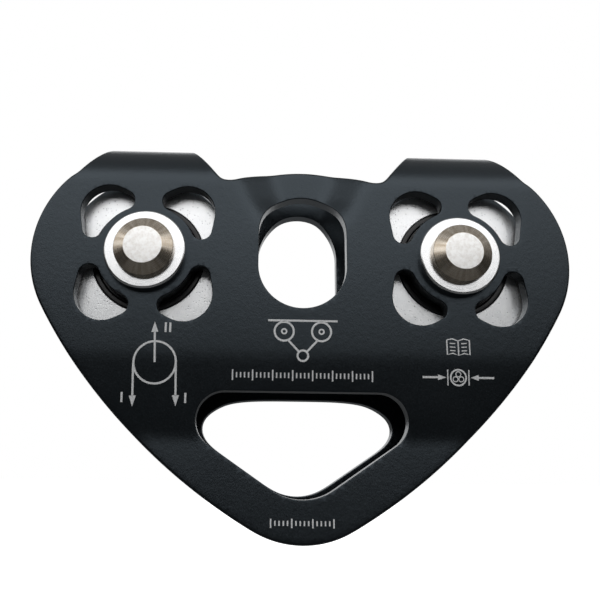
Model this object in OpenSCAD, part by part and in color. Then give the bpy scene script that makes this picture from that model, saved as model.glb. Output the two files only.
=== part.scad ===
// Tandem rope pulley: two sheaves in line on one rope, in a folded plate body.
// +X runs along the rope, +Y is the axles' direction, +Z is up in use.
// The origin is on the rope's centre line, half-way between the sheaves.

/* [Rope and sheaves] */
// Thickest rope that the grooves take
rope_d = 13; // [11:0.5:13]
// Distance between the two axles
axle_spacing = 79.3; // [78:0.1:84]
// Radius at the bottom of the rope groove
root_r = 17; // [16.8:0.1:17.4]
// Radius of the sheave flanges
rim_r = 22.2; // [21.6:0.1:23]
// Width of a sheave
sheave_w = 15.6; // [15.2:0.1:16]
// Bevel on the flange edges
rim_bevel = 0.5; // [0.2:0.1:0.8]

/* [Bearings] */
// Bore of the ball bearing, and the axle that it sits on
axle_r = 6; // [5.8:0.1:6.2]
// Outside radius of the ball bearing
bearing_r = 14; // [13.8:0.1:14.2]
// Width of the ball bearing
bearing_w = 12; // [11.6:0.1:12.4]
// Radius of the circle of ball centres
pitch_r = 10; // [9.9:0.05:10.1]
// Radius of a ball
ball_r = 2.38; // [2.2:0.01:2.4]
// Balls in a bearing
ball_count = 8; // [6:1:8]
// Free space between a ball and its race
race_gap = 0.12; // [0.1:0.01:0.15]
// Radius of the dust seals
seal_r = 14.5; // [14.3:0.1:15]
// How far a dust seal stands proud of the sheave's face
seal_proud = 0.2; // [0.1:0.05:0.4]
// Space between the dust seal and the cheek's spacer
seal_gap = 0.4; // [0.3:0.05:0.6]

/* [Body plate] */
// Thickness of the plate
plate_t = 4; // [3.8:0.1:4.2]
// Width over the two cheeks
body_w = 26; // [25.4:0.2:28]
// Height of the fold's crest above the axles
crest_h = 32.4; // [32:0.1:33]
// Radius of the round lobes about the axles
lobe_r = 28.8; // [28:0.1:29]
// Depth of the pointed end below the axles
tip_drop = 69.6; // [69:0.2:72]
// Radius of the pointed end
tip_r = 24; // [22:0.5:26]
// Radius of the long curved flanks
flank_r = 140; // [120:1:180]
// How far each cheek is drawn in at the waist
waist_in = 2; // [1.6:0.1:2.2]
// Drop from the axles to the bend where the cheeks start to close in
bend_drop = 26.3; // [25:0.1:27]
// Drop from the axles to the waist, below which the cheeks flare out again
waist_drop = 45.5; // [43:0.5:47]

/* [Openings] */
// Half width of the upper eye
eye_r = 11.2; // [11:0.1:12]
// Height of the upper eye's top arc centre above the axles
eye_top = 5.9; // [5:0.1:6.5]
// Drop of the upper eye's bottom arc centre below the axles
eye_drop = 2.7; // [2:0.1:4]
// Window corner radius
window_r = 7.1; // [6.8:0.1:7.2]
// Radius of a window's two narrow ends
window_end_r = 2.6; // [2.3:0.1:2.7]
// Radius of the ring left around an axle, inside the windows
hub_r = 12.5; // [12.4:0.1:12.8]

/* [Axle hardware] */
// Radius of the washers
washer_r = 10.2; // [9.8:0.1:10.4]
// Thickness of the washers
washer_t = 2.2; // [1.8:0.1:2.6]
// Radius of the axle head
head_r = 7.4; // [7.2:0.1:7.6]
// Height of the head's straight part
head_side = 1.9; // [1.6:0.1:2.2]
// Height of the head's cone
head_cone = 1.5; // [1.2:0.1:1.8]
// Radius of the flat end of the head
head_flat_r = 4.75; // [4.5:0.05:5]
// Radius of the axle's riveted end
stub_r = 4; // [3.6:0.1:4.2]
// Radius of the spacers
spacer_r = 8; // [7.8:0.1:8.2]

/* [Hidden] */
$fn = 96;

axle_x = axle_spacing / 2;
axle_z = root_r + rope_d / 2;
half_w = body_w / 2;
fold_z = axle_z + crest_h - half_w;
sides = [-1, 1];
far = 100;

// lobes, pointed end and flanks of the heart, seen along Y
lobe = [axle_x, axle_z];
tip = [0, axle_z - tip_drop + tip_r];
flank = meet(lobe, flank_r - lobe_r, tip, flank_r - tip_r);
// the fold's straps, relative to the axle centres
strap_foot_in = 21.2;
strap_foot_out = 59;
strap_in = 29.3;
strap_out = 51.3;
strap_low = 20.8;
strap_high = 31.4;
// the raised edge between the straps
saddle_half = 18;
saddle_z = axle_z + 20.4;
hump = 4.8;
hump_r = (saddle_half * saddle_half + hump * hump) / (2 * hump);

// the carabiner eye: two corner circles and one bottom circle, [x, z, r]
eye_corner_r = 6.9;
low_eye = [[18.8, axle_z - 41.4, eye_corner_r], [-18.8, axle_z - 41.4, eye_corner_r],
    [0, axle_z - 46.3, 13.3]];

// one window, relative to its axle centre: [x, z, r] of its corner and two ends
window_reach = hub_r + window_end_r;
window_tilt = 24;
window = [[window_reach * cos(window_tilt), window_reach * sin(window_tilt), window_end_r],
    [10, 10.7, window_r],
    [window_reach * sin(window_tilt), window_reach * cos(window_tilt), window_end_r]];

// the dent that draws the cheeks together above the upper eye
dent_apex_z = axle_z + 3;
dent_knee_z = axle_z + 15;
dent_top_z = axle_z + 26;
dent_depth = 4.4;
dent_foot_half = 9;
dent_outer_half = 19.4;
dent_inner_half = 9.4;
dent_outer_knee = 14.4;
dent_inner_knee = dent_inner_half - dent_outer_half + dent_outer_knee;

groove_r = rope_d / 2 + 0.3;
groove_centre_r = root_r + groove_r;
shoulder_in = 8.3;
shoulder_out = 11.7;
race_r = ball_r + race_gap;
cage_w = 4.8;
cage_t = 1.4;
spacer_w = half_w - plate_t - bearing_w / 2;
seal_low = sheave_w / 2 + seal_proud;
head_base = half_w + washer_t;
head_end = head_base + head_side + head_cone;
washer_round = 0.6;

// a point at distance ra from a and rb from b, on the right of the line a to b
function meet(a, ra, b, rb) =
    let (d = b - a, l = norm(d), u = d / l, k = (ra * ra - rb * rb + l * l) / (2 * l))
    a + k * u + sqrt(ra * ra - k * k) * [u[1], -u[0]];

// the two points of the line that touches circles a and b on their right side
function touch(a, b) =
    let (d = [b[0] - a[0], b[1] - a[1]], l = norm(d), u = d / l, s = (a[2] - b[2]) / l,
        n = s * u + sqrt(1 - s * s) * [u[1], -u[0]])
    [[a[0], a[1]] + a[2] * n, [b[0], b[1]] + b[2] * n];

// a smooth closed shape around circles listed anticlockwise
module round_loop(circles) {
    count = len(circles);
    polygon([for (i = [0 : count - 1]) each touch(circles[i], circles[(i + 1) % count])]);
    for (c = circles) translate([c[0], c[1]]) circle(r = c[2]);
}

// stands a shape drawn in X and Z up, from y = low to y = high
module upright(low, high) {
    translate([0, high, 0]) rotate([90, 0, 0]) linear_extrude(high - low) children();
}

// lays a shape drawn in Y and Z along X
module lengthwise(low, high) {
    translate([low, 0, 0]) rotate([90, 0, 90]) linear_extrude(high - low) children();
}

// turns a shape drawn in radius and Y about the axle of one side
module about_axle(side) {
    translate([side * axle_x, 0, axle_z]) rotate([-90, 0, 0]) rotate_extrude() children();
}

module band(r_in, r_out, y_low, y_high) {
    translate([r_in, y_low]) square([r_out - r_in, y_high - y_low]);
}

// a circle's far point on the flank, seen from the flank's centre
function on_flank(centre, scale) = flank + (centre - flank) * scale / norm(centre - flank);

module flank_side() {
    intersection() {
        translate(flank) circle(r = flank_r, $fn = 360);
        polygon([lobe, on_flank(lobe, flank_r + 9), on_flank(tip, flank_r + 9), tip]);
    }
}

module strap() {
    polygon([[strap_foot_in, axle_z], [strap_foot_out - 9, axle_z],
        [strap_foot_out, axle_z + strap_low], [strap_out, axle_z + strap_high],
        [strap_out, far], [strap_in, far], [strap_in, axle_z + strap_high],
        [strap_foot_in, saddle_z]]);
}

module heart() {
    polygon([[-lobe[0], lobe[1]], tip, lobe]);
    translate(tip) circle(r = tip_r);
    for (side = sides) mirror([side < 0 ? 1 : 0, 0]) {
        translate(lobe) circle(r = lobe_r);
        flank_side();
        strap();
    }
    translate([-strap_foot_in, axle_z]) square([2 * strap_foot_in, saddle_z - axle_z]);
    intersection() {
        translate([0, saddle_z + hump - hump_r]) circle(r = hump_r, $fn = 180);
        translate([-saddle_half, axle_z]) square([2 * saddle_half, saddle_z - axle_z + 2 * hump]);
    }
}

// the rear cheek in Y and Z, up to height z_top, drawn in at the waist
module cheek_section(z_top) {
    outer = [[half_w, z_top], [half_w, axle_z - bend_drop],
        [half_w - waist_in, axle_z - waist_drop], [half_w, axle_z - tip_drop]];
    inner = [for (i = [3 : -1 : 0]) outer[i] - [plate_t, 0]];
    polygon(concat(outer, inner));
}

module fold_section() {
    difference() {
        translate([0, fold_z]) circle(r = half_w, $fn = 180);
        translate([0, fold_z]) circle(r = half_w - plate_t, $fn = 180);
        translate([-far / 2, fold_z - far]) square(far);
    }
    for (side = sides) mirror([side < 0 ? 1 : 0, 0]) cheek_section(fold_z);
}

// what is pressed out of the rear cheek above the upper eye, shifted outwards by "out"
module dent(out) {
    outer_y = half_w + out;
    deep_y = outer_y - dent_depth;
    polyhedron(
        points = [[-dent_foot_half, outer_y, dent_apex_z], [dent_foot_half, outer_y, dent_apex_z],
            [dent_outer_knee, outer_y, dent_knee_z], [dent_outer_half, outer_y, dent_top_z],
            [-dent_outer_half, outer_y, dent_top_z], [-dent_outer_knee, outer_y, dent_knee_z],
            [dent_inner_half, deep_y, dent_top_z], [-dent_inner_half, deep_y, dent_top_z],
            [dent_inner_knee, deep_y, dent_knee_z], [-dent_inner_knee, deep_y, dent_knee_z],
            [0, outer_y, dent_apex_z]],
        faces = [[10, 1, 2, 3, 4, 5, 0], [3, 6, 7, 4], [9, 8, 10], [7, 6, 8, 9], [10, 8, 1],
            [8, 2, 1], [6, 3, 2], [8, 6, 2], [9, 10, 0], [5, 9, 0],
            [7, 9, 5], [4, 7, 5]]);
}

module middle_cheek() {
    difference() {
        union() {
            lengthwise(-strap_foot_in, strap_foot_in) cheek_section(far);
            dent(-plate_t);
        }
        dent(0);
    }
}

module eye_outline() {
    for (z = [axle_z + eye_top, axle_z - eye_drop]) translate([0, z]) circle(r = eye_r);
    translate([-eye_r, axle_z - eye_drop]) square([2 * eye_r, eye_top + eye_drop]);
}

module window_outline() {
    difference() {
        round_loop(window);
        circle(r = hub_r);
    }
}

module body_plate() {
    color([0.10, 0.11, 0.12]) difference() {
        intersection() {
            union() {
                for (side = sides) mirror([side < 0 ? 1 : 0, 0, 0])
                    lengthwise(strap_foot_in, far) fold_section();
                for (side = sides) mirror([0, side < 0 ? 1 : 0, 0]) middle_cheek();
            }
            upright(-far, far) heart();
        }
        upright(-far, far) eye_outline();
        upright(-far, far) round_loop(low_eye);
        for (side = sides) {
            upright(-far, far) translate([side * axle_x, axle_z])
                for (a = sides) for (b = sides) mirror([a < 0 ? 1 : 0, 0])
                    mirror([0, b < 0 ? 1 : 0]) window_outline();
            translate([side * axle_x, 0, axle_z]) rotate([90, 0, 0])
                cylinder(h = 2 * far, r = axle_r, center = true);
        }
    }
}

module sheave(side) {
    edge = sheave_w / 2;
    color([0.78, 0.79, 0.80]) about_axle(side) difference() {
        polygon([[bearing_r, -bearing_w / 2], [seal_r, -bearing_w / 2], [seal_r, -edge],
            [rim_r - rim_bevel, -edge], [rim_r, rim_bevel - edge], [rim_r, edge - rim_bevel],
            [rim_r - rim_bevel, edge], [seal_r, edge], [seal_r, bearing_w / 2],
            [bearing_r, bearing_w / 2]]);
        translate([groove_centre_r, 0]) circle(r = groove_r);
    }
}

module outer_ring(side) {
    color([0.72, 0.73, 0.75]) about_axle(side) difference() {
        band(shoulder_out, bearing_r, -bearing_w / 2, bearing_w / 2);
        translate([pitch_r, 0]) circle(r = race_r);
    }
}

module inner_ring(side) {
    color([0.72, 0.73, 0.75]) about_axle(side) difference() {
        band(axle_r, shoulder_in, -bearing_w / 2, bearing_w / 2);
        translate([pitch_r, 0]) circle(r = race_r);
    }
}

module at_balls(side) {
    translate([side * axle_x, 0, axle_z]) for (i = [0 : ball_count - 1])
        rotate([0, i * 360 / ball_count, 0]) translate([pitch_r, 0, 0]) children();
}

module balls(side) {
    color([0.85, 0.86, 0.88]) at_balls(side) sphere(r = ball_r);
}

module ball_cage(side) {
    color([0.66, 0.55, 0.35]) difference() {
        about_axle(side) band(pitch_r - cage_t / 2, pitch_r + cage_t / 2, -cage_w / 2, cage_w / 2);
        at_balls(side) sphere(r = ball_r);
    }
}

// end is -1 for the front and 1 for the rear
module seal(side, end) {
    color([0.05, 0.05, 0.05]) about_axle(side) mirror([0, end < 0 ? 1 : 0])
        band(spacer_r + seal_gap, seal_r, bearing_w / 2, seal_low);
}

module axle(side) {
    color([0.62, 0.60, 0.58]) about_axle(side)
        polygon([[0, -head_end], [head_flat_r, -head_end], [head_r, -head_base - head_side],
            [head_r, -head_base], [axle_r, -head_base], [axle_r, head_base],
            [stub_r, head_base], [stub_r, head_end], [0, head_end]]);
}

module rear_collar(side) {
    color([0.62, 0.60, 0.58]) about_axle(side)
        polygon([[stub_r, head_base], [head_r, head_base], [head_r, head_base + head_side],
            [head_flat_r, head_end], [stub_r, head_end]]);
}

module washer(side, end) {
    color([0.80, 0.81, 0.82]) about_axle(side) mirror([0, end < 0 ? 1 : 0]) {
        band(axle_r, washer_r - washer_round, half_w, half_w + washer_t);
        band(axle_r, washer_r, half_w, half_w + washer_t - washer_round);
        translate([washer_r - washer_round, half_w + washer_t - washer_round])
            circle(r = washer_round);
    }
}

module spacer(side, end) {
    color([0.70, 0.71, 0.72]) about_axle(side) mirror([0, end < 0 ? 1 : 0])
        band(axle_r, spacer_r, bearing_w / 2, bearing_w / 2 + spacer_w);
}

body_plate();
sheave(-1);  // left_sheave
sheave(1);  // right_sheave
outer_ring(-1);  // left_bearing_outer_ring
outer_ring(1);  // right_bearing_outer_ring
inner_ring(-1);  // left_bearing_inner_ring
inner_ring(1);  // right_bearing_inner_ring
balls(-1);  // left_bearing_balls
balls(1);  // right_bearing_balls
ball_cage(-1);  // left_ball_cage
ball_cage(1);  // right_ball_cage
seal(-1, -1);  // left_front_seal
seal(1, -1);  // right_front_seal
seal(-1, 1);  // left_rear_seal
seal(1, 1);  // right_rear_seal
axle(-1);  // left_axle
axle(1);  // right_axle
rear_collar(-1);  // left_rear_collar
rear_collar(1);  // right_rear_collar
washer(-1, -1);  // left_front_washer
washer(1, -1);  // right_front_washer
washer(-1, 1);  // left_rear_washer
washer(1, 1);  // right_rear_washer
spacer(-1, -1);  // left_front_spacer
spacer(1, -1);  // right_front_spacer
spacer(-1, 1);  // left_rear_spacer
spacer(1, 1);  // right_rear_spacer
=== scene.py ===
import math
import bmesh
import bpy
import numpy as np
from mathutils import Euler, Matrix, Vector
from mathutils.geometry import delaunay_2d_cdt
from mathutils.kdtree import KDTree


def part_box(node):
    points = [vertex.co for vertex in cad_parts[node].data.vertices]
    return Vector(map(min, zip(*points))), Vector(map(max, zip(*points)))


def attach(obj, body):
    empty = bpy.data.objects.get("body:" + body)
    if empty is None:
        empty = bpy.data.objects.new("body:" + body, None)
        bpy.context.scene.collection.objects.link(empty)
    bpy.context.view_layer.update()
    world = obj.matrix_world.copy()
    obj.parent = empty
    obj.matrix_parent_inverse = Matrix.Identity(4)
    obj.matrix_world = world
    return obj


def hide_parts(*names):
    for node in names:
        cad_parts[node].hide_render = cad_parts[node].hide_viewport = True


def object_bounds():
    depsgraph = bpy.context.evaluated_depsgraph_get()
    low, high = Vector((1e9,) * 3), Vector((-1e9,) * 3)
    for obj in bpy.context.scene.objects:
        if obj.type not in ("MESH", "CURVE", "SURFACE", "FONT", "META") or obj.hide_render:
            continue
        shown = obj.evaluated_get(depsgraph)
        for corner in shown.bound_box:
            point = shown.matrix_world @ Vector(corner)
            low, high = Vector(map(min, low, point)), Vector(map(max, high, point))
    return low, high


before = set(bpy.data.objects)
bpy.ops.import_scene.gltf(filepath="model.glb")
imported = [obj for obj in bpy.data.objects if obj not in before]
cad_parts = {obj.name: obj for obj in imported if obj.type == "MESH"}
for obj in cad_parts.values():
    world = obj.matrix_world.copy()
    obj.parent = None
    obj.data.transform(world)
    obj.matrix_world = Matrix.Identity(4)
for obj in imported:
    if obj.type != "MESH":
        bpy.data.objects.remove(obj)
cadBox = [list(corner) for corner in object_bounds()]
mm = 0.001
print("frame loaded:", len(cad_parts), "parts")


def nodeBox(node):
    low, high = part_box(node)
    return np.array(low) / mm, np.array(high) / mm


plateLow, plateHigh = nodeBox("body_plate")
sides = {"left": -1, "right": 1}
washerLow, washerHigh = nodeBox("right_front_washer")
axleX = (washerLow[0] + washerHigh[0]) / 2
axleZ = (washerLow[2] + washerHigh[2]) / 2
halfWidth = plateHigh[1]
crest = plateHigh[2] - axleZ  # heights below are measured from the axles
tipDrop = axleZ - plateLow[2]

# the camera, in metres, degrees and millimetres of lens
cameraSetup = {
    "place": (-0.01218, -0.17677, -0.03047),
    "turn": (105.0, -0.63, -1.77),
    "lens": 40.85,
    "sensor": 36,
    "nearest": 0.005,
    "shift": (0.046, -0.0128),
}


def makeCamera():
    data = bpy.data.cameras.new("camera")
    data.lens = cameraSetup["lens"]
    data.sensor_width = cameraSetup["sensor"]
    data.clip_start = cameraSetup["nearest"]
    data.shift_x, data.shift_y = cameraSetup["shift"]
    camera = bpy.data.objects.new("camera", data)
    camera.location = cameraSetup["place"]
    camera.rotation_euler = Euler([math.radians(angle) for angle in cameraSetup["turn"]])
    bpy.context.collection.objects.link(camera)
    bpy.context.scene.camera = camera
    print("camera placed")


makeCamera()

# shader maths: a Wire is one socket, and sums and products on it add Math nodes


class Wire:
    def __init__(self, paint, socket):
        self.paint = paint
        self.socket = socket

    def calc(self, operation, *values):
        return self.paint.node("ShaderNodeMath", {"operation": operation}, dict(enumerate(values)))

    def __add__(self, other):
        return self.calc("ADD", self, other)

    def __sub__(self, other):
        return self.calc("SUBTRACT", self, other)

    def __rsub__(self, other):
        return self.calc("SUBTRACT", other, self)

    def __mul__(self, other):
        return self.calc("MULTIPLY", self, other)

    def __pow__(self, other):
        return self.calc("POWER", self, other)

    def __gt__(self, other):
        return self.calc("GREATER_THAN", self, other)

    __radd__ = __add__
    __rmul__ = __mul__

    def ramp(self, start, end, low=0.0, high=1.0):
        values = {"Value": self, "From Min": start, "From Max": end, "To Min": low, "To Max": high}
        return self.paint.node("ShaderNodeMapRange", {"interpolation_type": "SMOOTHSTEP"}, values)


class Graph:
    def __init__(self, owner):
        owner.use_nodes = True
        self.tree = owner.node_tree

    def plug(self, socket, value):
        if isinstance(value, Wire):
            self.tree.links.new(value.socket, socket)
        else:
            socket.default_value = value

    def node(self, kind, settings=None, values=None, out=0):
        made = self.tree.nodes.new(kind)
        for name, value in (settings or {}).items():
            setattr(made, name, value)
        for socket, value in (values or {}).items():
            self.plug(made.inputs[socket], value)
        return Wire(self, made.outputs[out])


class Paint(Graph):
    def __init__(self, name, **uniform):
        self.material = bpy.data.materials.new(name)
        super().__init__(self.material)
        self.shader = self.tree.nodes["Principled BSDF"]
        for socket, value in uniform.items():
            self.set(socket.replace("_", " "), value)

    def set(self, socket, value):
        self.plug(self.shader.inputs[socket], value)

    def place(self):
        return self.node("ShaderNodeTexCoord", out="Object")

    def noise(self, scale, detail=4.0, roughness=0.55, at=None):
        values = {"Vector": at or self.place(), "Scale": scale, "Detail": detail,
                  "Roughness": roughness}
        return self.node("ShaderNodeTexNoise", values=values)

    def spots(self, scale):  # distance to the nearest of scattered points
        values = {"Vector": self.place(), "Scale": scale}
        return self.node("ShaderNodeTexVoronoi", values=values, out="Distance")

    def spotTone(self, scale):  # one number for each scattered point's cell
        values = {"Vector": self.place(), "Scale": scale}
        cell = self.node("ShaderNodeTexVoronoi", values=values, out="Color")
        return self.node("ShaderNodeSeparateXYZ", values={"Vector": cell})

    def mix(self, factor, first, second):
        values = {"Factor": factor, 6: first, 7: second}  # sockets 6 and 7 are the two colours
        for key in (6, 7):
            if not isinstance(values[key], Wire):
                values[key] = (*values[key], 1)
        return self.node("ShaderNodeMix", {"data_type": "RGBA"}, values, out=2)

    def bump(self, height, distance, strength=1.0):
        values = {"Height": height, "Distance": distance, "Strength": strength}
        self.set("Normal", self.node("ShaderNodeBump", values=values))

    def attribute(self, name):
        return self.node("ShaderNodeAttribute", {"attribute_name": name}, out="Fac")


# the axle's hardware in millimetres, for its turned finish and its shape
axleParts = {
    "shank": 6.0, "stub": 4.0, "head": 7.4, "headSide": 1.9, "flat": 4.75,
    "coneRound": 0.3, "baseRound": 0.15, "stubRound": 0.12, "collarRound": 0.1,
    "washerRound": 0.55, "washerFoot": 0.15, "washerBore": 0.2, "centre": 0.02,
}


def blackAnodised():
    paint = Paint("black_anodised", IOR=1.62, Specular_Tint=(0.74, 0.88, 1.0, 1.0))
    grain = paint.noise(2400, 3)
    cloud = paint.noise(70, 4)
    nick = (1 - paint.spots(170).ramp(0.05, 0.08)) * (paint.spotTone(170) > 0.988)
    rub = paint.attribute("edge") * paint.noise(260, 4).ramp(0.72, 0.76)
    tone = paint.mix(cloud.ramp(0.3, 0.7), (0.0008, 0.0011, 0.0014), (0.0022, 0.0026, 0.0030))
    paint.set("Base Color", paint.mix(nick + rub * 0.5, tone, (0.60, 0.60, 0.58)))
    paint.set("Roughness", grain * 0.12 + cloud * 0.06 + 0.25)
    paint.bump(grain + paint.noise(900, 3) * 1.2, 0.00004, 0.6)
    return paint.material


def laserEtched():
    paint = Paint("laser_etched", Metallic=0.0, IOR=1.4)
    dots = paint.noise(5200, 2)
    paint.set("Base Color", paint.mix(dots.ramp(0.35, 0.7), (0.70, 0.71, 0.72), (0.92, 0.92, 0.92)))
    paint.set("Roughness", dots * 0.2 + 0.5)
    paint.bump(dots, 0.00001, 0.5)
    return paint.material


def tumbledAluminium():
    paint = Paint("tumbled_aluminium")
    pit = 1 - paint.spots(1500).ramp(0.10, 0.34)
    pit = pit * paint.spotTone(1500).ramp(0.45, 0.75)
    smear = paint.noise(420, 5)
    fine = paint.noise(4200, 3)
    tone = paint.mix(smear.ramp(0.3, 0.72), (0.88, 0.89, 0.90), (0.97, 0.975, 0.98))
    paint.set("Base Color", paint.mix(pit * 0.6, tone, (0.38, 0.39, 0.40)))
    paint.set("Metallic", 0.8)
    paint.set("Roughness", smear * 0.16 + fine * 0.08 + 0.20)
    paint.bump(fine * 0.4 + smear * 0.6 - pit, 0.00003, 0.6)
    return paint.material


def aboutAxle(paint, side):  # distance from the axle and angle about it, for turned marks
    placed = paint.node("ShaderNodeVectorMath", {"operation": "SUBTRACT"},
                        {0: paint.place(), 1: (side * axleX * mm, 0, axleZ * mm)})
    x = paint.node("ShaderNodeSeparateXYZ", values={"Vector": placed}, out="X")
    z = paint.node("ShaderNodeSeparateXYZ", values={"Vector": placed}, out="Z")
    radius = (x * x + z * z) ** 0.5
    angle = x.calc("ARCTAN2", x, z)
    return radius, angle


def ringPoint(paint, radius, angle, along, around):  # a noise place: long streaks about the axle
    return paint.node("ShaderNodeCombineXYZ", values={"X": radius * along, "Y": angle * around})


def turnedSteel(side):
    paint = Paint(f"turned_steel_{side}", Metallic=1.0)
    radius, angle = aboutAxle(paint, sides[side])
    grooves = paint.noise(1, 3, at=ringPoint(paint, radius, angle, 9000, 0.6))
    streaks = paint.noise(1, 4, at=ringPoint(paint, radius, angle, 150, 5.0))
    flat = 1 - radius.ramp((axleParts["flat"] - 0.13) * mm, (axleParts["flat"] + 0.05) * mm)
    speck = paint.noise(800, 5, 0.7).ramp(0.36, 0.62)
    cone = paint.mix(streaks.ramp(0.3, 0.7), (0.46, 0.385, 0.30), (0.74, 0.66, 0.56))
    blasted = paint.mix(speck, (0.84, 0.815, 0.785), (0.99, 0.985, 0.97))
    paint.set("Base Color", paint.mix(flat, cone, blasted))
    paint.set("Roughness", flat * 0.15 + grooves * 0.10 + 0.22)
    paint.bump(grooves * (1 - flat) * 0.22 + speck * flat * 0.5, 0.00002, 0.5)
    return paint.material


def polishedSteel(side):
    paint = Paint(f"polished_steel_{side}", Metallic=1.0)
    radius, angle = aboutAxle(paint, sides[side])
    grooves = paint.noise(1, 3, at=ringPoint(paint, radius, angle, 7000, 1.2))
    smear = paint.noise(500, 4)
    nick = (1 - paint.spots(900).ramp(0.06, 0.14)) * (paint.spotTone(900) > 0.8)
    tone = paint.mix(smear.ramp(0.35, 0.7), (0.76, 0.765, 0.77), (0.86, 0.86, 0.86))
    paint.set("Base Color", paint.mix(nick, tone, (0.45, 0.45, 0.45)))
    paint.set("Roughness", grooves * 0.12 + smear * 0.08 + 0.13)
    paint.bump(grooves - nick, 0.00001, 0.4)
    return paint.material


def mouldedRubber():
    paint = Paint("seal_rubber", IOR=1.5)
    skin = paint.noise(1800, 4)
    dust = paint.noise(300, 5, 0.7).ramp(0.55, 0.8)
    paint.set("Base Color", paint.mix(dust * 0.25, (0.006, 0.006, 0.007), (0.05, 0.05, 0.052)))
    paint.set("Roughness", skin * 0.18 + 0.22)
    paint.bump(skin, 0.00002, 0.35)
    return paint.material


def groundSteel(name, dark, pale, rough):
    paint = Paint(name, Metallic=1.0)
    smear = paint.noise(700, 5)
    fine = paint.noise(6000, 2)
    paint.set("Base Color", paint.mix(smear.ramp(0.3, 0.7), dark, pale))
    paint.set("Roughness", smear * 0.12 + fine * 0.06 + rough)
    paint.bump(fine, 0.000005, 0.4)
    return paint.material


finishes = {
    "bearing": groundSteel("bearing_steel", (0.52, 0.53, 0.55), (0.66, 0.67, 0.69), 0.16),
    "ball": groundSteel("ball_steel", (0.74, 0.75, 0.77), (0.84, 0.85, 0.86), 0.04),
    "cage": groundSteel("cage_brass", (0.60, 0.44, 0.20), (0.76, 0.58, 0.30), 0.28),
    "spacer": groundSteel("spacer_steel", (0.50, 0.51, 0.53), (0.64, 0.65, 0.67), 0.22),
    "anodised": blackAnodised(),
    "etched": laserEtched(),
    "sheave": tumbledAluminium(),
    "rubber": mouldedRubber(),
}
for side in sides:
    finishes["turned_" + side] = turnedSteel(side)
    finishes["polished_" + side] = polishedSteel(side)
print("finishes made:", len(finishes))

# flat outlines, as arrays of points in millimetres


def arc(centre, radius, start, end, step=0.7):
    count = max(2, int(math.ceil(abs(math.radians(end - start)) * radius / step)))
    angles = np.radians(np.linspace(start, end, count + 1))
    return np.array(centre) + radius * np.stack([np.cos(angles), np.sin(angles)], 1)


def heading(vector):
    return math.degrees(math.atan2(vector[1], vector[0]))


def touchAngle(first, second):  # the outward side of the line that touches both circles
    gap = np.array(second[:2]) - np.array(first[:2])
    lean = (first[2] - second[2]) / np.linalg.norm(gap)
    return heading(gap) - math.degrees(math.acos(lean))


def aroundCircles(circles):  # circles as (x, z, radius), anticlockwise
    loop = []
    for before, here, after in zip(circles[-1:] + circles[:-1], circles, circles[1:] + circles[:1]):
        start, end = touchAngle(before, here), touchAngle(here, after)
        loop.append(arc(here[:2], here[2], start, start + (end - start) % 360))
    return np.concatenate(loop)


def resample(loop, step):
    closed = np.vstack([loop, loop[:1]])
    length = np.concatenate([[0], np.cumsum(np.linalg.norm(np.diff(closed, axis=0), axis=1))])
    places = np.linspace(0, length[-1], max(8, round(length[-1] / step)), endpoint=False)
    return np.stack([np.interp(places, length, closed[:, axis]) for axis in (0, 1)], 1)


def soften(loop, step, spread):  # rounds every corner of an evenly spaced loop
    for turn in range(round(2 * (spread / step) ** 2)):
        loop = (np.roll(loop, 1, 0) + 2 * loop + np.roll(loop, -1, 0)) / 4
    return loop


def leftOf(loop):
    along = np.roll(loop, -1, 0) - np.roll(loop, 1, 0)
    along /= np.linalg.norm(along, axis=1)[:, None]
    return np.stack([-along[:, 1], along[:, 0]], 1)


def signedArea(loop):
    after = np.roll(loop, -1, 0)
    return np.sum(loop[:, 0] * after[:, 1] - after[:, 0] * loop[:, 1]) / 2


def insideAny(points, loops):  # even-odd test
    inside = np.zeros(len(points), bool)
    for loop in loops:
        for (x0, y0), (x1, y1) in zip(loop, np.roll(loop, -1, 0)):
            if y0 != y1:
                crosses = (points[:, 1] > y0) != (points[:, 1] > y1)
                inside ^= crosses & (points[:, 0] < (x1 - x0) * (points[:, 1] - y0) / (y1 - y0) + x0)
    return inside


# the body: one flat blank, folded over the sheaves
plate = {
    "thickness": 4.0, "edgeRound": 0.7, "holeRound": 0.25, "edgeSteps": 4,
    "grid": 1.45, "rowShare": 0.866, "gridClear": 0.6,
    "outlineStep": 0.62, "cornerSpread": 0.95, "holeSpread": 0.25, "fineStep": 0.4,
    "lobeRadius": 28.8, "tipRadius": 24.0, "flankRadius": 140.0,
    "strapIn": 29.3, "strapOut": 51.3, "strapFootIn": 21.2, "strapFootOut": 59.0,
    "strapLow": 20.8, "strapHigh": 31.4,
    "foldInner": 17.5, "foldBlend": 4.5,
    "saddleHalf": 18.0, "saddleTop": 20.4, "hump": 4.8,
    "waistIn": 2.0, "bendDrop": 26.3, "waistDrop": 45.5, "bendSoft": 0.85, "waistSoft": 0.3,
    "dentApex": 3.0, "dentKnee": 15.0, "dentTop": 26.0, "dentDepth": 4.4,
    "dentFoot": 9.0, "dentOuter": 19.4, "dentInner": 9.4, "dentSoft": 0.09,
    "dentRidge": 0.3, "kneeSoft": 0.05,
    "eyeRadius": 11.2, "eyeTop": 5.9, "eyeDrop": 2.7,
    "lowEye": [(18.8, -41.4, 6.9), (-18.8, -41.4, 6.9), (0, -46.3, 13.3)],
    "windowCorner": (10.0, 10.7, 7.1), "windowEnd": 2.6, "hubRadius": 12.5, "windowTilt": 24,
}
foldStart = crest - halfWidth
middleRadius = halfWidth - plate["thickness"] / 2
crestAlong = foldStart + middleRadius * math.pi / 2


def along(height):  # how far up the flat blank a height on the folded plate's outside is
    turn = np.arcsin(np.clip((height - foldStart) / halfWidth, 0, 1))
    return np.where(height > foldStart, foldStart + middleRadius * turn, height)


def softPlus(value, soft):
    return soft * np.logaddexp(0, value / soft)


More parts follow.
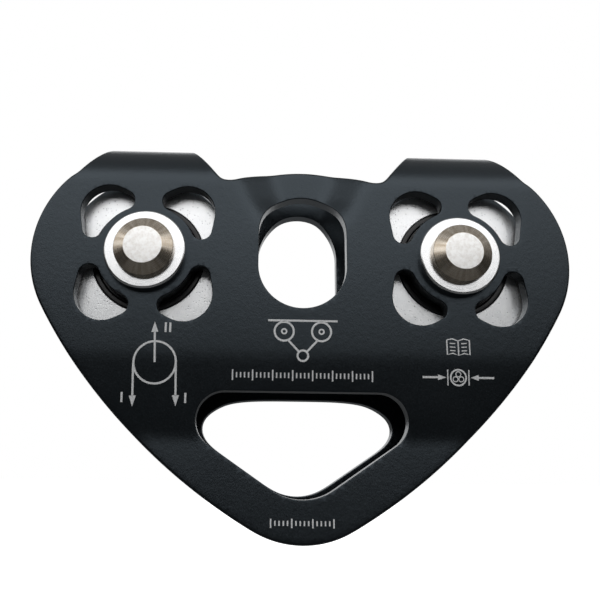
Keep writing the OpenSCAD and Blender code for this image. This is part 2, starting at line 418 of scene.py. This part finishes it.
def inwards(x, height):  # how far the cheek's face is pressed towards the middle
    closing = plate["waistIn"] / (plate["waistDrop"] - plate["bendDrop"])
    flaring = plate["waistIn"] / (tipDrop - plate["waistDrop"])
    press = closing * softPlus(-plate["bendDrop"] - height, plate["bendSoft"])
    press = press - (closing + flaring) * softPlus(-plate["waistDrop"] - height, plate["waistSoft"])
    apex, top = plate["dentApex"], plate["dentTop"]
    share = (height - apex) / (top - apex)
    deep = (height - apex) / (plate["dentKnee"] - apex)
    deep = softPlus(deep, plate["kneeSoft"]) - softPlus(deep - 1, plate["kneeSoft"])
    outer = plate["dentFoot"] + (plate["dentOuter"] - plate["dentFoot"]) * share
    reach = np.sqrt(x * x + plate["dentRidge"])
    part = (outer - reach) / np.maximum(outer - plate["dentInner"] * share, 1)
    level = softPlus(part, plate["dentSoft"]) - softPlus(part - 1, plate["dentSoft"])
    return press + plate["dentDepth"] * deep * level


def bend(x, run, lift):
    # a point of the blank, lift outwards from its middle layer, in metres on the folded plate
    run, x, lift = np.broadcast_arrays(run, x, lift)
    front = run <= crestAlong
    up = crestAlong - np.abs(run - crestAlong)
    flatY = halfWidth - plate["thickness"] / 2 + lift - inwards(x, up)
    turn = np.clip((up - foldStart) / middleRadius, 0, None)
    foldY = (middleRadius + lift) * np.cos(turn)
    foldZ = np.where(turn > 0, foldStart + (middleRadius + lift) * np.sin(turn), up)
    folded = np.clip((np.abs(x) - plate["foldInner"]) / plate["foldBlend"], 0, 1)
    folded = np.where(turn > 0, folded * folded * (3 - 2 * folded), 0)
    y = flatY * (1 - folded) + foldY * folded
    z = up * (1 - folded) + foldZ * folded
    return np.stack([x, np.where(front, -y, y), z + axleZ], 1) * mm


def heartEdge():  # right half of the front cheek, from the pointed end to the fold's crest
    lobe, tip = np.array([axleX, 0]), np.array([0, plate["tipRadius"] - tipDrop])
    reachLobe = plate["flankRadius"] - plate["lobeRadius"]
    reachTip = plate["flankRadius"] - plate["tipRadius"]
    gap = tip - lobe
    length = np.linalg.norm(gap)
    unit = gap / length
    ahead = (reachLobe ** 2 - reachTip ** 2 + length ** 2) / (2 * length)
    across = math.sqrt(reachLobe ** 2 - ahead ** 2)
    flank = lobe + ahead * unit + across * np.array([unit[1], -unit[0]])
    foot = np.array([plate["strapFootOut"], plate["strapLow"]])
    tipTurn, lobeTurn = heading(tip - flank), heading(lobe - flank)
    strap = np.linspace(foot, (plate["strapOut"], plate["strapHigh"]), 24)
    edge = np.concatenate([arc(tip, plate["tipRadius"], -90, tipTurn),
                           arc(flank, plate["flankRadius"], tipTurn, lobeTurn),
                           arc(lobe, plate["lobeRadius"], lobeTurn, heading(foot - lobe)), strap])
    edge[:, 1] = along(edge[:, 1])
    return np.vstack([edge, [[plate["strapOut"], crestAlong]]])


def saddleEdge():  # right half of the raised edge between the straps, up to the crest
    half, rise = plate["saddleHalf"], plate["hump"]
    radius = (half ** 2 + rise ** 2) / (2 * rise)
    turn = math.degrees(math.asin(half / radius))
    hump = arc((0, plate["saddleTop"] + rise - radius), radius, 90, 90 - turn)
    foot, shoulder = (plate["strapFootIn"], plate["saddleTop"]), (plate["strapIn"], plate["strapHigh"])
    edge = np.concatenate([hump, np.linspace(foot, shoulder, 20)])
    edge[:, 1] = along(edge[:, 1])
    return np.vstack([edge, [[plate["strapIn"], crestAlong]]])


def overCrest(points):
    return points * (1, -1) + (0, 2 * crestAlong)


def allRound(quarter):  # mirrors a quarter edge over the crest, then left to right
    half = np.concatenate([quarter, overCrest(quarter)[::-1]])
    return np.concatenate([half, (half * (-1, 1))[::-1]])


def windowLoop():
    hub, fine = plate["hubRadius"], plate["fineStep"]
    tilt, end = plate["windowTilt"], plate["windowEnd"]
    reach = hub + end
    low = (*(reach * np.array([math.cos(math.radians(tilt)), math.sin(math.radians(tilt))])), end)
    high = (low[1], low[0], end)
    corner = plate["windowCorner"]
    toCorner, toHigh = touchAngle(low, corner), touchAngle(corner, high)
    return np.concatenate([arc((0, 0), hub, 90 - tilt, tilt, fine),
                           arc(low[:2], end, tilt - 180, toCorner, fine),
                           arc(corner[:2], corner[2], toCorner, toHigh, fine),
                           arc(high[:2], end, toHigh, 270 - tilt, fine)])


def openings():  # the holes of the front cheek
    upper = [(0, plate["eyeTop"], plate["eyeRadius"]), (0, -plate["eyeDrop"], plate["eyeRadius"])]
    holes = [aroundCircles(upper), aroundCircles(plate["lowEye"])]
    for side in (-1, 1):
        centre = np.array([side * axleX, 0])
        holes.append(arc(centre, axleParts["shank"], 0, 352))  # resampling closes the last step
        for flipX in (-1, 1):
            for flipZ in (-1, 1):
                holes.append(windowLoop() * (flipX, flipZ) + centre)
    return holes


rearEye = {"droop": 1.3, "below": 3, "rise": 9, "half": 20, "most": 1.1, "spread": 2.0}


def drooped(loop):  # the rear cheek's lower eye has a slightly arched top
    eye = rearEye
    start = plate["lowEye"][0][1] - eye["below"]
    lean = np.clip((loop[:, 1] - start) / eye["rise"], 0, 1)
    lean = lean * np.clip(np.abs(loop[:, 0]) / eye["half"], 0, eye["most"]) ** 4
    loop = loop - np.stack([0 * lean, eye["droop"] * lean], 1)
    return soften(loop, plate["outlineStep"], eye["spread"])


def plateLoops():
    step = plate["outlineStep"]
    loops = [soften(resample(allRound(heartEdge()), step), step, plate["cornerSpread"]),
             soften(resample(allRound(saddleEdge()), step), step, plate["cornerSpread"])]
    for number, hole in enumerate(openings()):
        hole = soften(resample(hole, step), step, plate["holeSpread"])
        loops += [hole, overCrest(drooped(hole) if number == 1 else hole)]
    return [loop if (signedArea(loop) > 0) == (number == 0) else loop[::-1]
            for number, loop in enumerate(loops)]


def smoothPiece(name, points, faces, material):
    mesh = bpy.data.meshes.new(name)
    mesh.from_pydata([tuple(point) for point in points], [], faces)
    mesh.materials.append(material)
    mesh.shade_smooth()
    piece = bpy.data.objects.new(name, mesh)
    bpy.context.collection.objects.link(piece)
    return piece


def evenNormals(piece, weight=80):  # large faces stay flat beside their rounded edges
    evenOut = piece.modifiers.new("face weights", "WEIGHTED_NORMAL")
    evenOut.weight = weight
    settle(piece)


def settle(piece):  # turns what the modifiers make into the piece's own plain mesh
    graph = bpy.context.evaluated_depsgraph_get()
    made = bpy.data.meshes.new_from_object(piece.evaluated_get(graph), depsgraph=graph)
    piece.modifiers.clear()
    piece.data = made


def blankGrid(rims):  # evenly spaced points between the rims
    rimPoints = np.concatenate(rims)
    finder = KDTree(len(rimPoints))
    for number, point in enumerate(rimPoints):
        finder.insert((*point, 0), number)
    finder.balance()
    pitch = plate["grid"]
    clear = plate["gridClear"] * pitch
    low, high = rimPoints.min(0), rimPoints.max(0)
    rows = np.arange(low[1], high[1], pitch * plate["rowShare"])
    grid = [(x + (row % 2) * pitch / 2, y) for row, y in enumerate(rows)
            for x in np.arange(low[0], high[0], pitch)]
    grid = np.array([point for point in grid if finder.find((*point, 0))[2] > clear])
    return grid[insideAny(grid, rims)]


def meshBlank(rims):  # the blank's flat points and triangles, and each rim's first point
    flat = np.concatenate(rims + [blankGrid(rims)])
    planned = len(flat)
    edges, starts, start = [], [], 0
    for rim in rims:
        starts.append(start)
        edges += [(start + i, start + (i + 1) % len(rim)) for i in range(len(rim))]
        start += len(rim)
    made = delaunay_2d_cdt([Vector(point) for point in flat.tolist()], edges, [], 1, 1e-5)
    flat = np.array([tuple(point) for point in made[0]])
    if len(flat) != planned:
        print("blank outline has crossed itself")
    middles = np.array([flat[list(face)].mean(0) for face in made[2]])
    triangles = [face for face, kept in zip(made[2], insideAny(middles, rims)) if kept]
    return flat, triangles, starts


def edgeProfile():  # inset, drop and face of each ring from the outer face to the inner one
    turns = np.linspace(0, math.pi / 2, plate["edgeSteps"] + 1)
    profile = [(1 - math.sin(turn), 1 - math.cos(turn), 1) for turn in turns[1:]]
    return profile + [(inset, drop, -1) for inset, drop, face in profile[::-1]]


def makeBody():
    half = plate["thickness"] / 2
    loops = plateLoops()
    sideways = [leftOf(loop) for loop in loops]
    radii = [plate["edgeRound"]] * 2 + [plate["holeRound"]] * (len(loops) - 2)
    rims = [loop + radius * left for loop, left, radius in zip(loops, sideways, radii)]
    flat, triangles, starts = meshBlank(rims)
    count = len(flat)
    points = [bend(flat[:, 0], flat[:, 1], half), bend(flat[:, 0], flat[:, 1], -half)]
    faces = [tuple(face) for face in triangles]
    faces += [tuple(count + corner for corner in reversed(face)) for face in triangles]
    base = 2 * count
    for loop, left, first, radius in zip(loops, sideways, starts, radii):
        size = len(loop)
        rings = [first]
        for inset, drop, face in edgeProfile():
            ring = loop + left * inset * radius
            points.append(bend(ring[:, 0], ring[:, 1], face * (half - drop * radius)))
            rings.append(base)
            base += size
        rings.append(count + first)
        for upper, lower in zip(rings, rings[1:]):
            for i in range(size):
                j = (i + 1) % size
                faces.append((upper + j, upper + i, lower + i, lower + j))
    points = np.concatenate(points)
    body = smoothPiece("folded_body", points, faces, finishes["anodised"])
    evenNormals(body)
    edge = body.data.attributes.new("edge", "FLOAT", "POINT")  # 1 on the rounded edges, for wear
    worn = np.zeros(len(points), np.float32)
    worn[2 * count:] = 1
    edge.data.foreach_set("value", worn)
    print("body plate:", len(points), "points,", len(faces), "faces")
    return body


body = makeBody()
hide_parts("body_plate")
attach(body, "body")

# turned pieces: profiles of (radius, y, rounding), spun about an axle


def roundedProfile(corners, steps=5):
    points = []
    straight = 1.55  # half of a corner's angle, past which there is nothing to round
    for before, here, after in zip(corners[-1:] + corners[:-1], corners, corners[1:] + corners[:1]):
        here2 = np.array(here[:2], float)
        back, on = np.array(before[:2]) - here2, np.array(after[:2]) - here2
        back, on = back / np.linalg.norm(back), on / np.linalg.norm(on)
        half = math.acos(np.clip(np.dot(back, on), -1, 1)) / 2
        if here[2] == 0 or half > straight:
            points.append(here2)
            continue
        reach = here[2] / math.tan(half)
        middle = here2 + (back + on) / np.linalg.norm(back + on) * here[2] / math.sin(half)
        first, last = here2 + back * reach - middle, here2 + on * reach - middle
        for part in np.linspace(0, 1, steps):
            ray = first * (1 - part) + last * part
            points.append(middle + ray / np.linalg.norm(ray) * here[2])
    return np.array(points)


def outwards(piece):
    shell = bmesh.new()
    shell.from_mesh(piece.data)
    bmesh.ops.recalc_face_normals(shell, faces=shell.faces)
    shell.to_mesh(piece.data)
    shell.free()


def spin(name, profile, side, material, steps=144, closed=True):
    # a ring when the profile is closed, or a solid when it starts and ends on the axle
    count = len(profile)
    points, faces = [], []
    for radius, y in profile:
        turns = np.arange(steps) * 2 * math.pi / steps
        ring = np.stack([side * axleX + radius * np.cos(turns), np.full(steps, y),
                         axleZ + radius * np.sin(turns)], 1)
        points.append(ring * mm)
    for here in range(count if closed else count - 1):
        after = (here + 1) % count
        for i in range(steps):
            j = (i + 1) % steps
            faces.append((here * steps + i, here * steps + j, after * steps + j, after * steps + i))
    if not closed:
        faces.append(tuple(range(steps))[::-1])
        faces.append(tuple((count - 1) * steps + i for i in range(steps)))
    piece = smoothPiece(name, np.concatenate(points), faces, material)
    outwards(piece)
    evenNormals(piece)
    return piece


def dress(piece, node, bodyName):
    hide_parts(node)
    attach(piece, bodyName)


sheave = {
    "root": 17.0, "groove": 6.8, "grooveStep": 0.35, "bearing": 14.0, "bearingHalf": 6.0,
    "sealSeat": 14.5, "seatRound": 0.15, "rimBevel": 0.45,
    "lip": 7.1, "lipRound": 0.25, "lipFoot": 6.4, "lipIn": 0.3, "lipDrop": 0.25,
}


def sheaveProfile(node):
    low, high = nodeBox(node)
    rim, half = (high[0] - low[0]) / 2, high[1]
    radius, seat = sheave["groove"], sheave["sealSeat"]
    bore, boreHalf = sheave["bearing"], sheave["bearingHalf"]
    centre = sheave["root"] + radius
    turn = math.degrees(math.acos((rim - sheave["lipDrop"] - centre) / radius))
    groove = arc((centre, 0), radius, turn, 360 - turn, sheave["grooveStep"])
    outer = roundedProfile([(seat, boreHalf, 0), (seat, half, sheave["seatRound"]),
                            (rim, half, sheave["rimBevel"]), (rim, sheave["lip"], sheave["lipRound"]),
                            (rim - sheave["lipIn"], sheave["lipFoot"], 0)])[:-1]
    mirrored = (outer * (1, -1))[::-1]
    return np.concatenate([outer, groove, mirrored, [(bore, -boreHalf), (bore, boreHalf)]])


def makeSheave(side):
    node = side + "_sheave"
    piece = spin(side + "_grooved_sheave", sheaveProfile(node), sides[side], finishes["sheave"])
    dress(piece, node, side + "_wheel")


seal = {"bore": 8.4, "lip": 9.5, "lipDeep": 0.05, "dish": (9.9, 12.9), "dishDeep": 0.35, "rim": 13.2}


def ringPlace(node):  # a ring's outside radius, the heights of its base and face, and its side
    low, high = nodeBox(node)
    base, face = sorted((abs(low[1]), abs(high[1])))
    return (high[0] - low[0]) / 2, base, face, -1 if high[1] < 0 else 1


def makeSeal(side, end):
    node = f"{side}_{end}_seal"
    outer, base, face, sign = ringPlace(node)
    dish, lip = face - seal["dishDeep"], face - seal["lipDeep"]
    corners = [(seal["bore"], base, 0.1), (outer, base, 0.1), (outer, face, 0.45),
               (seal["rim"], face, 0.3), (seal["dish"][1], dish, 0.2), (seal["dish"][0], dish, 0.2),
               (seal["lip"], lip, 0.3), (seal["bore"], lip, 0.35)]
    profile = roundedProfile(corners) * (1, sign)
    piece = spin(f"{side}_{end}_dust_seal", profile, sides[side], finishes["rubber"])
    dress(piece, node, side + "_wheel")


def makeAxle(side):
    node = side + "_axle"
    low, high = nodeBox(node)
    part, shank, stub = axleParts, axleParts["shank"], axleParts["stub"]
    washer = nodeBox(side + "_front_washer")[0][1]
    corners = [(part["centre"], low[1], 0), (part["flat"], low[1], part["coneRound"]),
               (part["head"], washer - part["headSide"], part["coneRound"]),
               (part["head"], washer, part["baseRound"]), (shank, washer, 0), (shank, -washer, 0),
               (stub, -washer, 0), (stub, high[1], part["stubRound"]), (part["centre"], high[1], 0)]
    piece = spin(side + "_turned_axle", roundedProfile(corners), sides[side],
                 finishes["turned_" + side], closed=False)
    dress(piece, node, "body")


def makeCollar(side):
    node = side + "_rear_collar"
    low, high = nodeBox(node)
    part = axleParts
    corners = [(part["stub"], low[1], part["collarRound"]), (part["head"], low[1], part["baseRound"]),
               (part["head"], low[1] + part["headSide"], part["coneRound"]),
               (part["flat"], high[1], part["coneRound"]), (part["stub"], high[1], part["stubRound"])]
    piece = spin(side + "_riveted_collar", roundedProfile(corners), sides[side],
                 finishes["turned_" + side])
    dress(piece, node, "body")


def makeWasher(side, end):
    node = f"{side}_{end}_washer"
    part = axleParts
    outer, base, face, sign = ringPlace(node)
    corners = [(part["shank"], base, 0), (outer, base, part["washerFoot"]),
               (outer, face, part["washerRound"]), (part["shank"], face, part["washerBore"])]
    piece = spin(f"{side}_{end}_ring_washer", roundedProfile(corners, 8) * (1, sign), sides[side],
                 finishes["polished_" + side])
    dress(piece, node, "body")


for side in sides:
    makeSheave(side)
    makeAxle(side)
    makeCollar(side)
    for end in ("front", "rear"):
        makeSeal(side, end)
        makeWasher(side, end)
print("turned pieces made")

# node trees for what repeats


def newTree(name, inputs):  # a tree with named inputs that gives one mesh
    tree = bpy.data.node_groups.new(name, "GeometryNodeTree")
    for label, kind in inputs.items():
        tree.interface.new_socket(label, in_out="INPUT", socket_type="NodeSocket" + kind)
    tree.interface.new_socket("Mesh", in_out="OUTPUT", socket_type="NodeSocketGeometry")
    return tree


def wireUp(tree, *wires):  # each wire is a node and its output, then a node and its input
    for start, out, end, into in wires:
        tree.links.new(start.outputs[out], end.inputs[into])


def endTree(tree, given, last, out, smooth):  # plain mesh, shading and finish
    realise = tree.nodes.new("GeometryNodeRealizeInstances")
    shade = tree.nodes.new("GeometryNodeSetShadeSmooth")
    paint = tree.nodes.new("GeometryNodeSetMaterial")
    result = tree.nodes.new("NodeGroupOutput")
    shade.inputs["Shade Smooth"].default_value = smooth
    wireUp(tree, (last, out, realise, "Geometry"), (realise, "Geometry", shade, "Geometry"),
           (shade, "Geometry", paint, "Geometry"), (given, "Finish", paint, "Material"),
           (paint, "Geometry", result, "Mesh"))


def grown(name, tree, values):  # an empty piece whose mesh a node tree makes
    piece = bpy.data.objects.new(name, bpy.data.meshes.new(name))
    bpy.context.collection.objects.link(piece)
    growth = piece.modifiers.new("growth", "NODES")
    growth.node_group = tree
    for item in tree.interface.items_tree:
        if item.in_out == "INPUT" and item.name in values:
            growth[item.identifier] = values[item.name]
    settle(piece)
    return piece


# the ball sets, instanced round their pitch circle
ballSet = {"count": 8, "pitch": 10.0, "radius": 2.38, "segments": 40, "rings": 24}


def ballTree():
    tree = newTree("ball ring", {"Balls": "Int", "Pitch": "Float", "Radius": "Float",
                                 "Centre": "Vector", "Finish": "Material"})
    given = tree.nodes.new("NodeGroupInput")
    circle = tree.nodes.new("GeometryNodeMeshCircle")
    ball = tree.nodes.new("GeometryNodeMeshUVSphere")
    spread = tree.nodes.new("GeometryNodeInstanceOnPoints")
    turn = tree.nodes.new("GeometryNodeTransform")
    ball.inputs["Segments"].default_value = ballSet["segments"]
    ball.inputs["Rings"].default_value = ballSet["rings"]
    turn.inputs["Rotation"].default_value = (math.pi / 2, 0, 0)
    wireUp(tree, (given, "Balls", circle, "Vertices"), (given, "Pitch", circle, "Radius"),
           (given, "Radius", ball, "Radius"), (circle, "Mesh", spread, "Points"),
           (ball, "Mesh", spread, "Instance"), (spread, "Instances", turn, "Geometry"),
           (given, "Centre", turn, "Translation"))
    endTree(tree, given, turn, "Geometry", True)
    return tree


ballRing = ballTree()
for side in sides:
    ballFacts = {"Balls": ballSet["count"], "Pitch": ballSet["pitch"] * mm,
                 "Radius": ballSet["radius"] * mm, "Finish": finishes["ball"],
                 "Centre": (sides[side] * axleX * mm, 0.0, axleZ * mm)}
    balls = grown(side + "_ball_ring", ballRing, ballFacts)
    dress(balls, side + "_bearing_balls", side + "_ball_set")

for side in sides:
    for node, finish in (("bearing_outer_ring", "bearing"), ("bearing_inner_ring", "bearing"),
                         ("ball_cage", "cage"), ("front_spacer", "spacer"), ("rear_spacer", "spacer")):
        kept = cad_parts[f"{side}_{node}"]
        for slot in kept.material_slots:
            slot.material = finishes[finish]
print("bearings made")

# laser marks on the front cheek: flat drawings in millimetres from the axles' height, laid on the plate
marks = {"line": 0.5, "proud": 0.02, "lineStep": 0.8, "ringStep": 0.35, "headOverlap": 0.2, "tick": 0.34}


class Drawing:
    def __init__(self):
        self.points, self.faces = [], []

    def ribbon(self, path, width, closed=False):
        path = np.array(path, float)
        count = len(path)
        before = np.roll(path, 1, 0) if closed else np.vstack([path[:1], path[:-1]])
        after = np.roll(path, -1, 0) if closed else np.vstack([path[1:], path[-1:]])
        run = after - before
        run /= np.linalg.norm(run, axis=1)[:, None]
        across = np.stack([-run[:, 1], run[:, 0]], 1) * width / 2
        first = len(self.points)
        for pair in zip(path + across, path - across):
            self.points += pair
        for i in range(count if closed else count - 1):
            j = (i + 1) % count
            self.faces.append((first + 2 * i, first + 2 * i + 1, first + 2 * j + 1, first + 2 * j))

    def line(self, start, end, width=marks["line"]):
        steps = max(2, int(math.dist(start, end) / marks["lineStep"]) + 1)
        self.ribbon(np.linspace(start, end, steps), width)

    def ring(self, centre, radius, width=marks["line"]):
        self.ribbon(arc(centre, radius, 0, 350, marks["ringStep"]), width, True)

    def arrow(self, tail, tip, head=2.6, spread=0.85):
        tail, tip = np.array(tail), np.array(tip)
        run = (tip - tail) / np.linalg.norm(tip - tail)
        side = np.array([-run[1], run[0]])
        neck = tip - run * head
        self.line(tail, neck + run * marks["headOverlap"])
        first = len(self.points)
        self.points += [tip, neck + side * spread, neck - side * spread]
        self.faces.append((first, first + 1, first + 2))

    def lay(self, name):
        flat = np.array(self.points)
        placed = bend(flat[:, 0], flat[:, 1], plate["thickness"] / 2 + marks["proud"])
        piece = smoothPiece(name, placed, self.faces, finishes["etched"])
        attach(piece, "body")


loadSign = {
    "centre": (-35.85, -28.0), "radius": 5.1, "loadTip": (-36.3, -18.0),
    "anchors": (((-41.0, -28.2), (-40.8, -38.6)), ((-30.75, -28.0), (-30.5, -38.4))),
    # two bars for the whole load, one bar for each half of it
    "bars": ((-33.6, -20.6, -18.2), (-32.5, -20.6, -18.2), (-43.4, -37.6, -35.2),
             (-28.2, -37.6, -35.2)),
}


def makeLoadMark():  # a round load between two anchor strands
    sign, mark = loadSign, Drawing()
    mark.ring(sign["centre"], sign["radius"])
    mark.arrow(sign["centre"], sign["loadTip"])
    for tail, tip in sign["anchors"]:
        mark.arrow(tail, tip)
    for x, foot, top in sign["bars"]:
        mark.line((x, foot), (x, top))
    mark.lay("load_mark")


bookSign = {
    "spine": 38.3, "border": 0.34,
    "page": ((0, -25.2), (1.4, -24.7), (2.8, -25.0), (2.8, -21.4), (1.4, -21.1), (0, -21.6)),
    "rows": (-22.3, -23.2, -24.1), "rowSpan": (0.75, 2.1), "rowRise": 0.1, "rowLine": 0.26,
}


def makeGuideMark():  # an open book with lines on its pages
    sign, mark = bookSign, Drawing()
    near, far = sign["rowSpan"]
    for side in (-1, 1):
        page = [(sign["spine"] + side * across, z) for across, z in sign["page"]]
        mark.ribbon(page, sign["border"], True)
        for row in sign["rows"]:
            start = (sign["spine"] + side * near, row)
            end = (sign["spine"] + side * far, row + sign["rowRise"])
            mark.line(start, end, sign["rowLine"])
    mark.lay("guide_mark")


ropeSign = {
    "centre": (38.0, -30.6), "rope": 1.9, "ropeLine": 0.4,
    "strand": 0.62, "strandOut": 0.82, "strandLine": 0.24,
    "post": 2.6, "postHalf": 1.9, "postLine": 0.3, "tail": 8.8, "tip": 3.0, "head": (2.0, 0.7),
}


def makeRopeMark():  # a rope's section between two measuring arrows
    sign, mark = ropeSign, Drawing()
    x, z = sign["centre"]
    mark.ring((x, z), sign["rope"], sign["ropeLine"])
    for turn in (90, 210, 330):
        away, ray = sign["strandOut"], math.radians(turn)
        strand = (x + away * math.cos(ray), z + away * math.sin(ray))
        mark.ring(strand, sign["strand"], sign["strandLine"])
    for side in (-1, 1):
        post = x + side * sign["post"]
        mark.line((post, z - sign["postHalf"]), (post, z + sign["postHalf"]), sign["postLine"])
        mark.arrow((x + side * sign["tail"], z), (x + side * sign["tip"], z), *sign["head"])
    mark.lay("rope_mark")


pulleySign = {
    "rail": (8.6, -17.2), "wheel": (4.6, -19.9), "wheelRadius": 2.35, "hub": 0.6, "hubLine": 0.4,
    "legTop": (3.6, -22.1), "legFoot": (1.0, -24.9), "eye": (0, -25.9), "eyeRadius": 1.3,
}


def makePulleyMark():  # two wheels on a line, and an eye hung below them
    sign, mark = pulleySign, Drawing()
    half, z = sign["rail"]
    mark.line((-half, z), (half, z))
    for side in (-1, 1):
        wheel = np.array(sign["wheel"]) * (side, 1)
        mark.ring(wheel, sign["wheelRadius"])
        mark.ring(wheel, sign["hub"], sign["hubLine"])
        mark.line(np.array(sign["legTop"]) * (side, 1), np.array(sign["legFoot"]) * (side, 1))
    mark.ring(sign["eye"], sign["eyeRadius"])
    mark.lay("pulley_mark")


makeLoadMark()
makeGuideMark()
makeRopeMark()
makePulleyMark()


def scaleTree():  # ticks along a line, every fifth one taller
    tree = newTree("tick scale", {"Count": "Int", "Pitch": "Float", "Width": "Float",
                                  "Short": "Float", "Tall": "Float", "Finish": "Material"})
    given = tree.nodes.new("NodeGroupInput")
    step = tree.nodes.new("ShaderNodeCombineXYZ")
    row = tree.nodes.new("GeometryNodeMeshLine")
    number = tree.nodes.new("GeometryNodeInputIndex")
    fifth = tree.nodes.new("ShaderNodeMath")
    first = tree.nodes.new("FunctionNodeCompare")
    height = tree.nodes.new("GeometryNodeSwitch")
    size = tree.nodes.new("ShaderNodeCombineXYZ")
    bar = tree.nodes.new("GeometryNodeMeshGrid")
    spread = tree.nodes.new("GeometryNodeInstanceOnPoints")
    row.mode = "OFFSET"
    fifth.operation = "MODULO"
    first.operation = "LESS_THAN"
    height.input_type = "FLOAT"
    fifth.inputs[1].default_value = 5
    first.inputs["B"].default_value = 0.5
    size.inputs["Z"].default_value = 1
    bar.inputs["Vertices X"].default_value = 2
    bar.inputs["Vertices Y"].default_value = 4
    wireUp(tree, (given, "Count", row, "Count"), (given, "Pitch", step, "X"),
           (step, "Vector", row, "Offset"), (number, "Index", fifth, 0), (fifth, "Value", first, "A"),
           (first, "Result", height, "Switch"), (given, "Short", height, "False"),
           (given, "Tall", height, "True"), (given, "Width", size, "X"),
           (height, "Output", size, "Y"), (row, "Mesh", spread, "Points"),
           (bar, "Mesh", spread, "Instance"), (size, "Vector", spread, "Scale"))
    endTree(tree, given, spread, "Instances", False)
    return tree


def layTicks(name, start, count, pitch, short, tall):
    facts = {"Count": count, "Pitch": pitch, "Width": marks["tick"], "Short": short, "Tall": tall,
             "Finish": finishes["etched"]}
    ticks = grown(name, scaleTree(), facts)
    flat = np.array([tuple(point.co) for point in ticks.data.vertices])
    lift = plate["thickness"] / 2 + marks["proud"]
    placed = bend(flat[:, 0] + start[0], flat[:, 1] + start[1], lift)
    ticks.data.vertices.foreach_set("co", placed.ravel())
    ticks.data.update()
    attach(ticks, "body")


scales = {  # where each starts, its ticks, their pitch, and a short and a tall one
    "scale_mark": ((-17.0, -30.7), 36, 0.97, 1.3, 2.6),
    "batch_mark": ((-7.4, -64.7), 16, 0.97, 1.1, 2.0),
}
for name in scales:
    layTicks(name, *scales[name])
print("marks laid")

# the studio: a pale floor, a dim sky and four softboxes
studio = {
    "floorDrop": 0.03, "floorSize": 4.0,
    "skyTop": 0.32, "skyLow": 0.03, "skyBack": 0.5, "skyBehind": 0.08,
    "rearGlow": 0.35, "floorGlow": 0.07,
    # azimuth, elevation, distance, width and height, brightness
    "front": (0, 32.5, 1.0, (1.0, 0.6), 1.5),
    "left": (-54, 28, 1.0, (0.8, 0.5), 1.05),
    "right": (48, 28, 1.0, (0.55, 0.5), 1.0),
    "rear": (180, 30, 1.0, (1.3, 0.9), 1.2),
}


def makeFloor():
    size, level = studio["floorSize"], cadBox[0][2] - studio["floorDrop"]
    mesh = bpy.data.meshes.new("floor")
    mesh.from_pydata([(-size, -size, level), (size, -size, level), (size, size, level),
                      (-size, size, level)], [], [(0, 1, 2, 3)])
    floor = bpy.data.objects.new("floor", mesh)
    bpy.context.collection.objects.link(floor)
    paint = Paint("pale_floor", Roughness=0.9)
    paint.set("Base Color", paint.mix(paint.noise(3, 2), (0.86, 0.86, 0.86), (0.9, 0.9, 0.9)))
    paint.set("Emission Color", (1, 1, 1, 1))
    paint.set("Emission Strength", 0.8)
    mesh.materials.append(paint.material)
    floor.visible_glossy = False
    floor.visible_diffuse = False


def softbox(name, azimuth, elevation, distance, size, level):
    data = bpy.data.lights.new(name, "AREA")
    data.shape, data.size, data.size_y = "RECTANGLE", size[0], size[1]
    data.energy = level * math.pi * size[0] * size[1]
    light = bpy.data.objects.new(name, data)
    side, up = math.radians(azimuth), math.radians(elevation)
    away = Vector((math.sin(side) * math.cos(up), -math.cos(side) * math.cos(up), math.sin(up)))
    light.location = away * distance
    light.rotation_euler = away.to_track_quat("Z", "Y").to_euler()
    bpy.context.collection.objects.link(light)


def makeSky():
    world = bpy.data.worlds.new("studio")
    sky = Graph(world)
    bpy.context.scene.world = world
    place = sky.node("ShaderNodeTexCoord", out="Generated")
    up = sky.node("ShaderNodeSeparateXYZ", values={"Vector": place}, out="Z")
    back = sky.node("ShaderNodeSeparateXYZ", values={"Vector": place}, out="Y")
    level = up.ramp(0.05, 0.75, 0.0, studio["skyTop"]) * back.ramp(0.0, 0.8, 1.0, studio["skyBack"])
    level = level + back.ramp(0.3, 0.8, 0.0, studio["rearGlow"]) + studio["skyLow"]
    level = level * back.ramp(0.9, 0.975, 1.0, studio["skyBehind"])
    level = level + up.ramp(-0.5, -0.25, studio["floorGlow"], 0.0)
    seen = sky.node("ShaderNodeLightPath", out="Is Camera Ray")
    around = sky.node("ShaderNodeBackground", values={"Color": (0.97, 0.99, 1.0, 1), "Strength": level})
    backdrop = sky.node("ShaderNodeBackground", values={"Color": (1, 1, 1, 1), "Strength": 1.0})
    both = sky.node("ShaderNodeMixShader", values={0: seen, 1: around, 2: backdrop})
    sky.plug(sky.tree.nodes["World Output"].inputs["Surface"], both)


def makeStudio():
    makeFloor()
    makeSky()
    for where in ("front", "left", "right", "rear"):
        softbox(where + "_softbox", *studio[where])
    bpy.context.scene.view_settings.view_transform = "Standard"


makeStudio()
print("studio lit")
